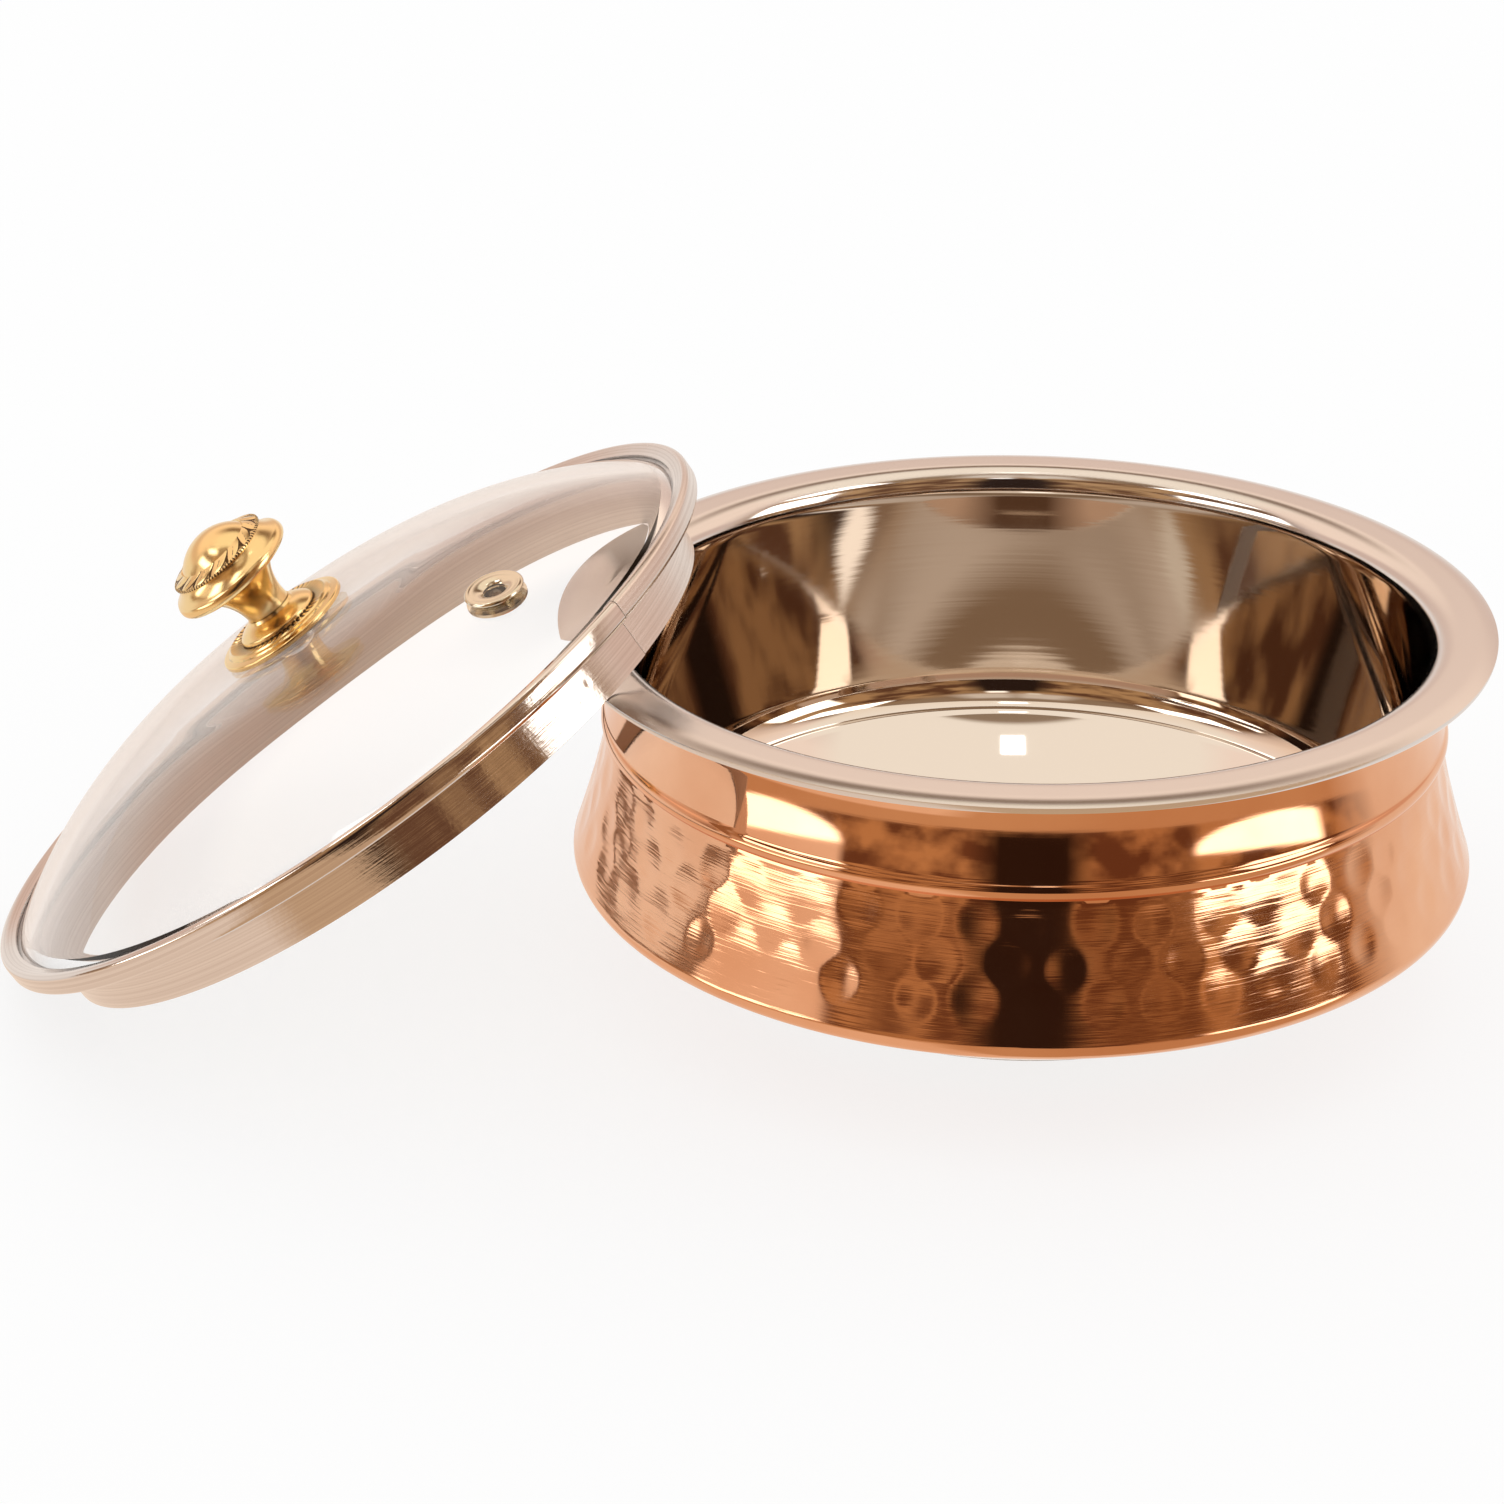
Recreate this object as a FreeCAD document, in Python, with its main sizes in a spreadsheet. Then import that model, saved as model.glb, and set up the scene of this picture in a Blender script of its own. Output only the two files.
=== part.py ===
import FreeCAD, Part
import math
import os
import Sketcher

# Low copper and steel serving pot (handi), with its glass lid taken off and
# leaning on the rim. Millimetres, +Z up, origin on the pot's axis at the table.
# The lid pieces are drawn in the lid's own frame: its origin is the centre of
# the skirt's lower edge and its Z runs up through the knob.

SIZES = {
    # pot, outside
    "pot_height": 78.0,
    "rim_radius": 95.0,
    "steel_sheet": 0.8,
    "copper_sheet": 0.6,
    "sheet_gap": 0.05,
    # bowl, from the rim inwards and down
    "rim_turn_width": 3.8,
    "rim_droop": 0.7,
    "hem_depth": 1.9,
    "hem_tuck": 0.3,
    "flange_width": 13.0,
    "mouth_round": 5.0,
    "wall_bulge_radius": 150.0,
    "wall_taper": 1.4,
    "wall_foot_height": 29.0,
    "corner_width": 5.6,
    "corner_round": 9.5,
    "floor_ring_height": 22.0,
    "dish_width": 35.0,
    "dish_round": 115.0,
    # copper shell, from the lip down
    "copper_lip_inset": 3.6,
    "copper_lip_flat": 0.35,
    "neck_clearance": 1.2,
    "neck_hollow_radius": 60.0,
    "bead_drop": 20.4,
    "bead_swell": 2.5,
    "bead_width": 3.6,
    "bead_round": 2.2,
    "bead_edge": 0.4,
    "skirt_inset": 0.8,
    "skirt_hollow_radius": 220.0,
    "knuckle_flare": 9.3,
    "knuckle_height": 27.6,
    "knuckle_drop": 3.4,
    "knuckle_inset": 1.6,
    "knuckle_round": 3.4,
    "copper_foot_run": 30.3,
    "copper_foot_height": 7.6,
    # base plate
    "base_sheet": 1.0,
    "base_lap": 6.0,
    # lid, band and glass
    "lid_rise": 8.77,
    "lid_play": 2.9,
    "ledge_width": 8.5,
    "band_sheet": 0.5,
    "band_wall_foot": 10.7,
    "band_height": 15.5,
    "band_lip_width": 3.9,
    "band_lip_drop": 0.9,
    "band_round": 1.2,
    "glass_thickness": 3.2,
    "glass_side_gap": 0.5,
    "glass_edge_round": 0.6,
    "glass_shoulder_width": 4.6,
    "glass_shoulder_rise": 0.9,
    "glass_shoulder_run": 1.0,
    "glass_crown_height": 33.9,
    "glass_crown_round": 330.0,
    "glass_crown_spread": 32.0,
    "knob_hole_radius": 3.6,
    "vent_hole_radius": 3.4,
    "vent_offset": 60.6,
    "vent_bearing": -31.6,
    # rosette under the knob
    "rosette_radius": 14.6,
    "rosette_tip": 4.0,
    "rosette_foot_width": 1.2,
    "rosette_edge_height": 1.1,
    "rosette_edge_round": 0.5,
    "rosette_step_width": 1.5,
    "rosette_step_rise": 0.3,
    "rosette_ring_inset": 2.6,
    "rosette_ring_height": 2.1,
    "rosette_ring_width": 3.2,
    "rosette_cup_rise": 0.5,
    "rosette_cup_round": 8.0,
    "rosette_height": 5.0,
    "rosette_collar": 0.3,
    # knob
    "knob_waist_radius": 4.9,
    "knob_waist_height": 0.8,
    "knob_stem_radius": 10.2,
    "knob_lip_height": 10.4,
    "knob_lip_radius": 13.7,
    "knob_lip_thickness": 2.4,
    "knob_lip_round": 1.0,
    "knob_hollow_round": 6.0,
    "knob_ring_radius": 11.2,
    "knob_ring_height": 16.0,
    "knob_ring_edge": 0.5,
    "knob_ring_undercut": 0.6,
    "knob_dome_radius": 8.3,
    "knob_dome_foot": 17.6,
    "knob_dome_groove": 0.15,
    "knob_height": 21.2,
    "knob_lean": 3.5,
    "knob_tip": 4.0,
    "knob_seat_stock": 1.2,
    # fastening
    "screw_radius": 2.0,
    "screw_head_radius": 4.6,
    "screw_head_height": 2.4,
    "screw_bite": 8.0,
    "thread_spare": 1.0,
    "gasket_radius": 9.0,
    "gasket_side_gap": 0.3,
    "gasket_thickness": 0.6,
    "washer_radius": 8.0,
    "washer_thickness": 1.0,
    # vent
    "vent_flange_radius": 6.1,
    "vent_flange_height": 0.9,
    "vent_edge_round": 0.9,
    "vent_barrel_radius": 3.1,
    "vent_bore_radius": 2.2,
    "vent_ring_thickness": 0.8,
    "vent_ring_inset": 0.3,
    "fit_gap": 0.05,
    "rest_gap": 0.06,
}

doc = FreeCAD.newDocument("Handi")
sheet = doc.addObject("Spreadsheet::Sheet", "Sizes")
for row, (alias, number) in enumerate(SIZES.items(), start=1):
    sheet.set("A%d" % row, alias)
    sheet.set("B%d" % row, str(number))
    sheet.setAlias("B%d" % row, alias)
doc.recompute()


class Size:
    """A number together with the sheet expression that gives it."""

    def __init__(self, value, text):
        self.value = value
        self.text = text

    def join(self, other, sign, result):
        return Size(result, "(%s %s %s)" % (self.text, sign, as_size(other).text))

    def __add__(self, other):
        return self.join(other, "+", self.value + as_size(other).value)

    def __sub__(self, other):
        return self.join(other, "-", self.value - as_size(other).value)

    def __mul__(self, other):
        return self.join(other, "*", self.value * as_size(other).value)

    def __truediv__(self, other):
        return self.join(other, "/", self.value / as_size(other).value)


def as_size(number):
    if isinstance(number, Size):
        return number
    return Size(float(number), repr(float(number)))


def named(alias):
    return Size(float(sheet.get(alias)), "Sizes." + alias)


def root(size):
    return Size(math.sqrt(size.value), "sqrt(%s)" % size.text)


def sine(size):
    """The sine of a size that is in degrees."""
    return Size(math.sin(math.radians(size.value)), "sin(%s * 1 deg)" % size.text)


def plane_of(body, role):
    for feature in body.Origin.OriginFeatures:
        if feature.Role == role:
            return feature
    raise RuntimeError("no plane " + role)


def arc_between(start, end, radius, left):
    """The arc of that radius from start to end; left of the way it bulges."""
    chord = end - start
    half = chord.Length / 2
    rise = math.sqrt(max(radius * radius - half * half, 0.0))
    side = FreeCAD.Vector(-chord.y, chord.x, 0).normalize()
    if left:
        side = side * -1
    centre = start + chord * 0.5 + side * rise
    middle = centre - side * radius
    return Part.Arc(start, middle, end)


def outline(body, steps, name="Outline"):
    """A closed sketch in the XZ plane. A step is (radius, height) for a straight
    side to that point, or (radius, height, round, side) for an arc to it."""
    sketch = body.newObject("Sketcher::SketchObject", name)
    sketch.AttachmentSupport = [(plane_of(body, "XZ_Plane"), "")]
    sketch.MapMode = "FlatFace"
    points = [(as_size(step[0]), as_size(step[1])) for step in steps]
    places = [FreeCAD.Vector(p[0].value, p[1].value, 0) for p in points]
    count = len(steps)
    for index, step in enumerate(steps):
        start = places[index - 1]
        end = places[index]
        if len(step) == 2:
            sketch.addGeometry(Part.LineSegment(start, end), False)
        else:
            arc = arc_between(start, end, as_size(step[2]).value, step[3] == "left")
            sketch.addGeometry(arc, False)
    ends = []
    for index, step in enumerate(steps):
        if len(step) == 2:
            ends.append((1, 2))
        else:
            forward = (sketch.getPoint(index, 1) - places[index - 1]).Length < 1e-6
            ends.append((1, 2) if forward else (2, 1))
    for index, step in enumerate(steps):
        follower = (index + 1) % count
        sketch.addConstraint(Sketcher.Constraint(
            "Coincident", index, ends[index][1], follower, ends[follower][0]))
        place_vertex(sketch, index, ends[index][1], points[index])
        if len(step) == 4:
            radius = as_size(step[2])
            tie(sketch, Sketcher.Constraint("Radius", index, radius.value), radius)
    return sketch


def tie(sketch, constraint, size):
    number = sketch.addConstraint(constraint)
    sketch.setExpression("Constraints[%d]" % number, size.text)


def place_vertex(sketch, curve, end, point):
    """Fix one vertex by its radius and height; a zero sits on the sketch axis."""
    radius, height = point
    if radius.text == "0.0":
        sketch.addConstraint(Sketcher.Constraint("PointOnObject", curve, end, -2))
    else:
        tie(sketch, Sketcher.Constraint("DistanceX", -1, 1, curve, end, radius.value), radius)
    if height.text == "0.0":
        sketch.addConstraint(Sketcher.Constraint("PointOnObject", curve, end, -1))
    else:
        tie(sketch, Sketcher.Constraint("DistanceY", -1, 1, curve, end, height.value), height)


def turned(label, steps):
    """A body of revolution about Z from a closed outline."""
    body = doc.addObject("PartDesign::Body", label)
    body.Label = label
    sketch = outline(body, steps)
    turn = body.newObject("PartDesign::Revolution", "Turn")
    turn.Profile = sketch
    turn.ReferenceAxis = (sketch, ["V_Axis"])
    turn.Angle = 360.0
    sketch.Visibility = False
    return body


def rod(name, radius, height, place):
    """A plain cylinder used as a cutter."""
    cylinder = doc.addObject("Part::Cylinder", name)
    cylinder.setExpression("Radius", radius.text)
    cylinder.setExpression("Height", height.text)
    cylinder.Placement = place
    return cylinder


def cut(label, base, tools):
    """The base less the tools, as one boolean result."""
    tool = tools[0]
    if len(tools) > 1:
        tool = doc.addObject("Part::MultiFuse", label + "_tools")
        tool.Shapes = tools
    result = doc.addObject("Part::Cut", label + "_cut")
    result.Base = base
    result.Tool = tool
    result.Label = label
    return result


def mouth_radius():
    return named("rim_radius") - named("flange_width")


def neck_radius():
    return mouth_radius() + named("steel_sheet") + named("neck_clearance")


def cap_radius(spread, rise):
    """Radius of the circle whose cap has that half-width and height."""
    return (spread * spread + rise * rise) / (rise * 2)


def inner_bowl():
    """Spun steel bowl: dished floor, upright wall, wide flange and rolled hem."""
    sheet_wall = named("steel_sheet")
    top = named("pot_height")
    floor = named("base_sheet") + named("sheet_gap") + sheet_wall
    mouth = mouth_radius()
    rounding = named("mouth_round")
    flange_start = mouth + rounding
    edge = named("rim_radius")
    turn_width = named("rim_turn_width")
    flat_end = edge - turn_width
    droop = top - named("rim_droop")
    hem_foot = top - named("hem_depth")
    hem_edge = edge - named("hem_tuck")
    foot = mouth - named("wall_taper")
    foot_height = named("wall_foot_height")
    ring = foot - named("corner_width")
    ring_height = named("floor_ring_height")
    flat = ring - named("dish_width")
    neck_foot = top - rounding
    return turned("inner_bowl", [
        (0, floor),
        (flat, floor),
        (ring, ring_height, named("dish_round"), "right"),
        (foot, foot_height, named("corner_round"), "right"),
        (mouth, neck_foot, named("wall_bulge_radius"), "right"),
        (flange_start, top, rounding, "left"),
        (flat_end, top),
        (edge, droop, cap_radius(turn_width, named("rim_droop")), "left"),
        (hem_edge, hem_foot, named("hem_depth"), "left"),
        (hem_edge - sheet_wall, hem_foot),
        (hem_edge - sheet_wall * 0.9, droop - sheet_wall * 0.4),
        (flat_end + sheet_wall * 1.5, top - sheet_wall),
        (flange_start, top - sheet_wall),
        (mouth + sheet_wall, neck_foot, rounding - sheet_wall, "right"),
        (foot + sheet_wall, foot_height, named("wall_bulge_radius") + sheet_wall, "left"),
        (ring + sheet_wall * 0.5, ring_height - sheet_wall,
         named("corner_round") + sheet_wall, "left"),
        (flat + sheet_wall * 0.2, floor - sheet_wall,
         named("dish_round") + sheet_wall, "left"),
        (0, floor - sheet_wall),
    ])


def knuckle_radius():
    return neck_radius() + named("knuckle_flare")


def copper_foot():
    return knuckle_radius() - named("copper_foot_run")


def copper_shell():
    """Copper skin: lip under the flange, polished neck, bead, flared skirt."""
    skin = named("copper_sheet")
    top = named("pot_height") - named("steel_sheet") - named("sheet_gap")
    lip = named("rim_radius") - named("copper_lip_inset")
    neck = neck_radius()
    turn_round = lip - named("copper_lip_flat") - neck
    neck_height = top - skin - turn_round
    bead_top = named("pot_height") - named("bead_drop")
    bead_foot = bead_top - named("bead_width")
    bead = neck + named("bead_swell")
    bead_start = bead - named("bead_edge")
    skirt_top = bead - named("skirt_inset")
    knuckle = knuckle_radius()
    knuckle_height = named("knuckle_height")
    under = knuckle_height - named("knuckle_drop")
    under_radius = knuckle - named("knuckle_inset")
    foot = copper_foot()
    foot_height = named("copper_foot_height")
    return turned("copper_shell", [
        (lip, top - skin),
        (neck + turn_round, top - skin),
        (neck, neck_height, turn_round, "right"),
        (bead_start, bead_top, named("neck_hollow_radius"), "right"),
        (skirt_top, bead_foot, named("bead_round"), "left"),
        (knuckle, knuckle_height, named("skirt_hollow_radius"), "right"),
        (under_radius, under, named("knuckle_round"), "left"),
        (foot, foot_height),
        (foot - skin * 0.3, foot_height + skin),
        (under_radius - skin * 0.6, under + skin * 0.8),
        (knuckle - skin, knuckle_height, named("knuckle_round") - skin, "right"),
        (skirt_top - skin, bead_foot, named("skirt_hollow_radius") + skin, "left"),
        (bead_start - skin, bead_top, named("bead_round"), "right"),
        (neck - skin, neck_height, named("neck_hollow_radius") + skin, "left"),
        (neck + turn_round, top, turn_round + skin, "left"),
        (lip, top),
    ])


def base_plate():
    """Steel bottom: flat standing face, cone flush with the copper, inner lap."""
    plate = named("base_sheet")
    skin = named("copper_sheet")
    gap = named("sheet_gap")
    foot = copper_foot()
    foot_height = named("copper_foot_height")
    run = named("copper_foot_run") - named("knuckle_inset")
    climb = named("knuckle_height") - named("knuckle_drop") - foot_height
    slope = climb / run
    lap = named("base_lap")
    seat = foot - gap
    seat_height = foot_height - gap * 2
    base = seat - seat_height / slope
    lap_foot = foot - skin * 0.5
    lap_height = foot_height + skin + gap * 4
    lap_end = foot + lap
    lap_top = lap_height + (lap_end - lap_foot) * slope
    return turned("base_plate", [
        (0, 0),
        (base, 0),
        (seat, seat_height),
        (lap_foot, lap_height),
        (lap_end, lap_top),
        (lap_end - plate * 0.5, lap_top + plate * 0.8),
        (lap_foot - plate, lap_height + plate * 0.6),
        (base - plate * 0.4, plate),
        (0, plate),
    ])


def skirt_radius():
    return mouth_radius() - named("lid_play")


def band_radius():
    return skirt_radius() + named("ledge_width")


def rim_top():
    """Points down the outside of the bowl's rim, from the flat flange outwards."""
    top = named("pot_height").value
    edge = named("rim_radius").value
    width = named("rim_turn_width")
    drop = named("rim_droop")
    flat = FreeCAD.Vector(edge - width.value, top, 0)
    brow = FreeCAD.Vector(edge, top - drop.value, 0)
    droop = arc_between(flat, brow, cap_radius(width, drop).value, True)
    return [FreeCAD.Vector(0, top, 0)] + droop.toShape().discretize(40)


def rim_clearance(offset, lean, lift):
    """Least height of the leaning skirt's lower edge above the rim."""
    profile = rim_top()
    least = 1000.0
    for radius in (skirt_radius().value, (skirt_radius() - named("band_sheet")).value):
        for step in range(1440):
            turn = math.radians(step * 0.25)
            x = radius * math.cos(turn) * math.cos(lean) - offset
            y = radius * math.sin(turn)
            away = math.hypot(x, y)
            for inner, outer in zip(profile, profile[1:]):
                if inner.x <= away <= outer.x:
                    share = (away - inner.x) / (outer.x - inner.x)
                    rim = inner.y + (outer.y - inner.y) * share
                    least = min(least, lift + radius * math.cos(turn) * math.sin(lean) - rim)
    return least


def lean_numbers():
    """How the lid leans: its skirt stands on the table at one side, crosses the
    rim at two places on the other, and ends there lid_rise above the rim."""
    radius = skirt_radius().value
    lean = math.asin((named("pot_height") + named("lid_rise")).value / (radius * 2))
    lift = radius * math.sin(lean)
    near = named("rim_radius").value
    far = near + band_radius().value
    while far - near > 0.001:
        middle = (near + far) / 2
        if rim_clearance(middle, lean, lift) < named("rest_gap").value:
            near = middle
        else:
            far = middle
    return math.degrees(lean), far, lift


LID_LEAN, LID_OFFSET, LID_LIFT = lean_numbers()


def lid_place(x=0.0, y=0.0, z=0.0, turn=None):
    """A place given in the lid's frame, moved to where the lid leans."""
    frame = FreeCAD.Placement(
        FreeCAD.Vector(-LID_OFFSET, 0, LID_LIFT),
        FreeCAD.Rotation(FreeCAD.Vector(0, 1, 0), -LID_LEAN))
    local = FreeCAD.Placement(FreeCAD.Vector(x, y, z), turn or FreeCAD.Rotation())
    return frame.multiply(local)


def rim_band():
    """Steel strip round the glass: lip, outer wall, ledge and skirt in one fold."""
    strip = named("band_sheet")
    wall = band_radius()
    top = named("band_height")
    rounding = named("band_round")
    ledge = named("band_wall_foot")
    skirt = skirt_radius()
    lip = wall - named("band_lip_width")
    lip_height = top - named("band_lip_drop")
    return turned("rim_band", [
        (skirt, 0),
        (skirt, ledge),
        (wall - rounding, ledge),
        (wall, ledge + rounding, rounding, "right"),
        (wall, top - rounding),
        (wall - rounding, top, rounding, "right"),
        (lip, lip_height),
        (lip, lip_height - strip),
        (wall - rounding, top - strip),
        (wall - strip, top - rounding, rounding - strip, "left"),
        (wall - strip, ledge + rounding),
        (wall - rounding, ledge + strip, rounding - strip, "left"),
        (skirt - strip, ledge + strip),
        (skirt - strip, 0),
    ])


def glass_seat_top():
    gap = named("fit_gap")
    return named("band_height") - named("band_lip_drop") - named("band_sheet") - gap * 2


def glass_arcs():
    """The glass's outer profile: a flat crown arc and a rounder shoulder arc that
    meets it without a crease. Returns the break, the shoulder and both arcs."""
    spread = named("glass_crown_spread")
    flat = named("glass_crown_round")
    fall = root(flat * flat - spread * spread)
    break_height = named("glass_crown_height") - flat + fall
    shoulder = band_radius() - named("band_sheet") - named("glass_side_gap")
    shoulder = shoulder - named("glass_shoulder_width")
    shoulder_height = glass_seat_top() + named("glass_shoulder_rise")
    run = shoulder - spread
    drop = break_height - shoulder_height
    tight = (run * run + drop * drop) / ((drop * fall - run * spread) * 2 / flat)
    centre = (spread - tight * spread / flat, break_height - tight * fall / flat)
    return (spread, break_height), (shoulder, shoulder_height), flat, tight, centre


def glass_dome():
    """Tempered glass: flat seating edge, shoulder and domed top, two holes."""
    thick = named("glass_thickness")
    gap = named("fit_gap")
    crown = named("glass_crown_height")
    corner = named("glass_edge_round")
    (spread, break_height), (shoulder, shoulder_height), flat, tight, centre = glass_arcs()
    edge = shoulder + named("glass_shoulder_width")
    seat = named("band_wall_foot") + named("band_sheet") + gap
    seat_top = glass_seat_top()
    inner = tight - thick
    inner_foot = shoulder - thick * 0.8
    reach = inner_foot - centre[0]
    inner_foot_height = centre[1] + root(inner * inner - reach * reach)
    inner_spread = centre[0] + inner * spread / flat
    inner_break = crown - flat + (break_height - crown + flat) * (flat - thick) / flat
    blank = turned("glass_blank", [
        (0, crown),
        (spread, break_height, flat, "left"),
        (shoulder, shoulder_height, tight, "left"),
        (shoulder + named("glass_shoulder_run"), seat_top),
        (edge - corner, seat_top),
        (edge, seat_top - corner, corner, "left"),
        (edge, seat),
        (inner_foot, seat),
        (inner_foot, inner_foot_height),
        (inner_spread, inner_break, inner, "right"),
        (0, crown - thick, flat - thick, "right"),
    ])
    centre_hole = rod("centre_hole", named("knob_hole_radius"), crown, FreeCAD.Placement())
    vent_hole = rod("vent_hole", named("vent_hole_radius"), thick * 4, vent_place(-thick.value * 2))
    glass = cut("glass_dome", blank, [centre_hole, vent_hole])
    glass.Placement = lid_place()
    return glass


def vent_place(along=0.0):
    """A frame on the glass's outer face at the vent, its Z out of the glass."""
    start, end, flat, tight, centre = glass_arcs()
    offset = named("vent_offset").value
    radius = tight.value
    away = offset - centre[0].value
    middle = centre[1].value
    if offset < start[0].value:
        radius = flat.value
        away = offset
        middle = named("glass_crown_height").value - radius
    slope = math.degrees(math.asin(away / radius))
    height = middle + math.sqrt(radius ** 2 - away ** 2)
    bearing = math.radians(named("vent_bearing").value)
    spot = FreeCAD.Vector(offset * math.cos(bearing), offset * math.sin(bearing), height)
    tilt_axis = FreeCAD.Vector(-math.sin(bearing), math.cos(bearing), 0)
    turn = FreeCAD.Rotation(tilt_axis, slope)
    return FreeCAD.Placement(spot + turn.multVec(FreeCAD.Vector(0, 0, along)), turn)


def vent_ring_drop():
    """How far the ring's lower face lies below the glass's outer face; its edge
    meets the hollow side of the glass first."""
    rim = named("vent_flange_radius")
    thick = named("glass_thickness")
    tight = glass_arcs()[3]
    sag = rim * rim / ((tight - thick) * 2)
    return thick + sag + named("vent_ring_thickness") + named("fit_gap")


def vent_eyelet():
    """Steel eyelet: dished flange on the glass and a barrel through it."""
    flange = named("vent_flange_radius")
    rise = named("vent_flange_height")
    corner = named("vent_edge_round")
    barrel = named("vent_barrel_radius")
    bore = named("vent_bore_radius")
    reach = vent_ring_drop() + named("fit_gap")
    body = turned("vent_eyelet", [
        (bore, 0),
        (bore, reach + rise * 0.1),
        (flange - corner, reach + rise, flange * 1.6, "right"),
        (flange, reach + rise * 0.6, corner, "left"),
        (flange, reach),
        (barrel, reach),
        (barrel, 0),
    ])
    place = vent_place(-reach.value)
    body.Placement = lid_place().multiply(place)
    return body


def vent_ring():
    """Steel ring that the eyelet is peened over below the glass."""
    gap = named("fit_gap")
    thick = named("vent_ring_thickness")
    hole = named("vent_barrel_radius") + gap
    rim = named("vent_flange_radius")
    body = turned("vent_ring", [
        (hole, 0),
        (rim - named("vent_ring_inset"), 0),
        (rim, thick * 0.4, thick * 0.5, "right"),
        (rim, thick),
        (hole, thick),
    ])
    body.Placement = lid_place().multiply(vent_place(-vent_ring_drop().value))
    return body


def rosette_lift():
    """Height of the rosette's own origin on the lid. It is tipped towards the
    viewer, and there the outer edge of its foot stands on the glass."""
    edge = named("rosette_radius")
    fall = edge * edge / (named("glass_crown_round") * 2)
    stand = named("glass_crown_height") - fall + named("fit_gap")
    return stand + edge * sine(named("rosette_tip"))


def rosette_frame(along=0.0):
    """A frame on the rosette's axis, in the lid's frame."""
    turn = FreeCAD.Rotation(FreeCAD.Vector(1, 0, 0), named("rosette_tip").value)
    base = FreeCAD.Placement(FreeCAD.Vector(0, 0, rosette_lift().value), turn)
    return base.multiply(FreeCAD.Placement(FreeCAD.Vector(0, 0, along), FreeCAD.Rotation()))


def screw_hole(name, top, frame):
    """A cutter along the screw, for a piece drawn in that frame on the lid."""
    return rod(name, named("screw_radius") + named("fit_gap"), top, frame.inverse())


def knob_rosette():
    """Brass base of the knob: thick rounded flange, a step up to the flat ring
    that carries the carving, and a shallow cup under the knob's waist."""
    edge = named("rosette_radius")
    edge_height = named("rosette_edge_height")
    corner = named("rosette_edge_round")
    step = edge - named("rosette_step_width")
    step_rise = named("rosette_step_rise")
    ring = edge - named("rosette_ring_inset")
    ring_height = named("rosette_ring_height")
    cup = ring - named("rosette_ring_width")
    height = named("rosette_height")
    neck = named("knob_waist_radius") + named("rosette_collar")
    collar = named("rosette_collar")
    crown = named("glass_crown_height")
    recess = named("gasket_radius") + named("gasket_side_gap")
    seal_top = crown + named("gasket_thickness") + named("fit_gap")
    skirt = seal_top - rosette_lift() + recess * sine(named("rosette_tip"))
    blank = turned("rosette_blank", [
        (0, skirt),
        (recess, skirt),
        (edge - named("rosette_foot_width"), 0),
        (edge, 0),
        (edge, edge_height - corner),
        (edge - corner, edge_height, corner, "right"),
        (step, edge_height + step_rise * 0.5),
        (step - step_rise, edge_height + step_rise * 1.5),
        (ring + step_rise, ring_height - step_rise),
        (ring, ring_height),
        (cup + collar, ring_height - collar),
        (cup, ring_height + named("rosette_cup_rise")),
        (neck + collar, height - collar * 2, named("rosette_cup_round"), "right"),
        (neck, height),
        (0, height),
    ])
    bore = screw_hole("rosette_bore", crown + height * 2, rosette_frame())
    result = cut("knob_rosette", blank, [bore])
    result.Placement = lid_place().multiply(rosette_frame())
    return result


def knob():
    """Turned brass knob: trumpet stem, thick rounded lip, hollow neck, flat ring
    for the carved leaves and a domed top."""
    waist = named("knob_waist_radius")
    stem = named("knob_stem_radius")
    lip = named("knob_lip_radius")
    lip_height = named("knob_lip_height")
    flare = cap_radius(lip_height - named("knob_waist_height"), stem - waist)
    lip_top = lip_height + named("knob_lip_thickness")
    corner = named("knob_lip_round")
    ring = named("knob_ring_radius")
    ring_height = named("knob_ring_height")
    ring_edge = named("knob_ring_edge")
    undercut = named("knob_ring_undercut")
    dome = named("knob_dome_radius")
    dome_foot = named("knob_dome_foot")
    groove = named("knob_dome_groove")
    stock = named("knob_seat_stock")
    rise = named("knob_height") - dome_foot + groove
    blank = turned("knob_blank", [
        (0, 0),
        (waist, 0),
        (waist, stock + named("knob_waist_height")),
        (stem, stock + lip_height, flare, "left"),
        (lip - corner * 0.8, stock + lip_height),
        (lip, stock + lip_height + corner, corner, "right"),
        (lip - corner * 0.5, stock + lip_top, corner * 2, "right"),
        (ring - undercut, stock + ring_height - ring_edge, named("knob_hollow_round"), "left"),
        (ring, stock + ring_height - ring_edge * 0.5),
        (ring, stock + ring_height),
        (dome + groove, stock + dome_foot),
        (dome, stock + dome_foot - groove),
        (0, stock + named("knob_height"), cap_radius(dome, rise), "right"),
    ])
    lean = FreeCAD.Rotation(FreeCAD.Vector(0, 1, 0), -named("knob_lean").value)
    tip = FreeCAD.Rotation(FreeCAD.Vector(1, 0, 0), named("knob_tip").value)
    turn = lean.multiply(tip)
    blank.Placement = FreeCAD.Placement(turn.multVec(FreeCAD.Vector(0, 0, -stock.value)), turn)
    depth = stock * 4
    below = rod("knob_seat", lip, depth, FreeCAD.Placement(
        FreeCAD.Vector(0, 0, -depth.value), FreeCAD.Rotation()))
    seat = rosette_frame((named("rosette_height") + named("fit_gap")).value)
    screw_top = named("glass_crown_height") + named("rosette_height") + named("screw_bite")
    tapped = screw_hole("knob_thread_hole", screw_top + named("thread_spare"), seat)
    result = cut("knob", blank, [below, tapped])
    result.Placement = lid_place().multiply(seat)
    return result


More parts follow.
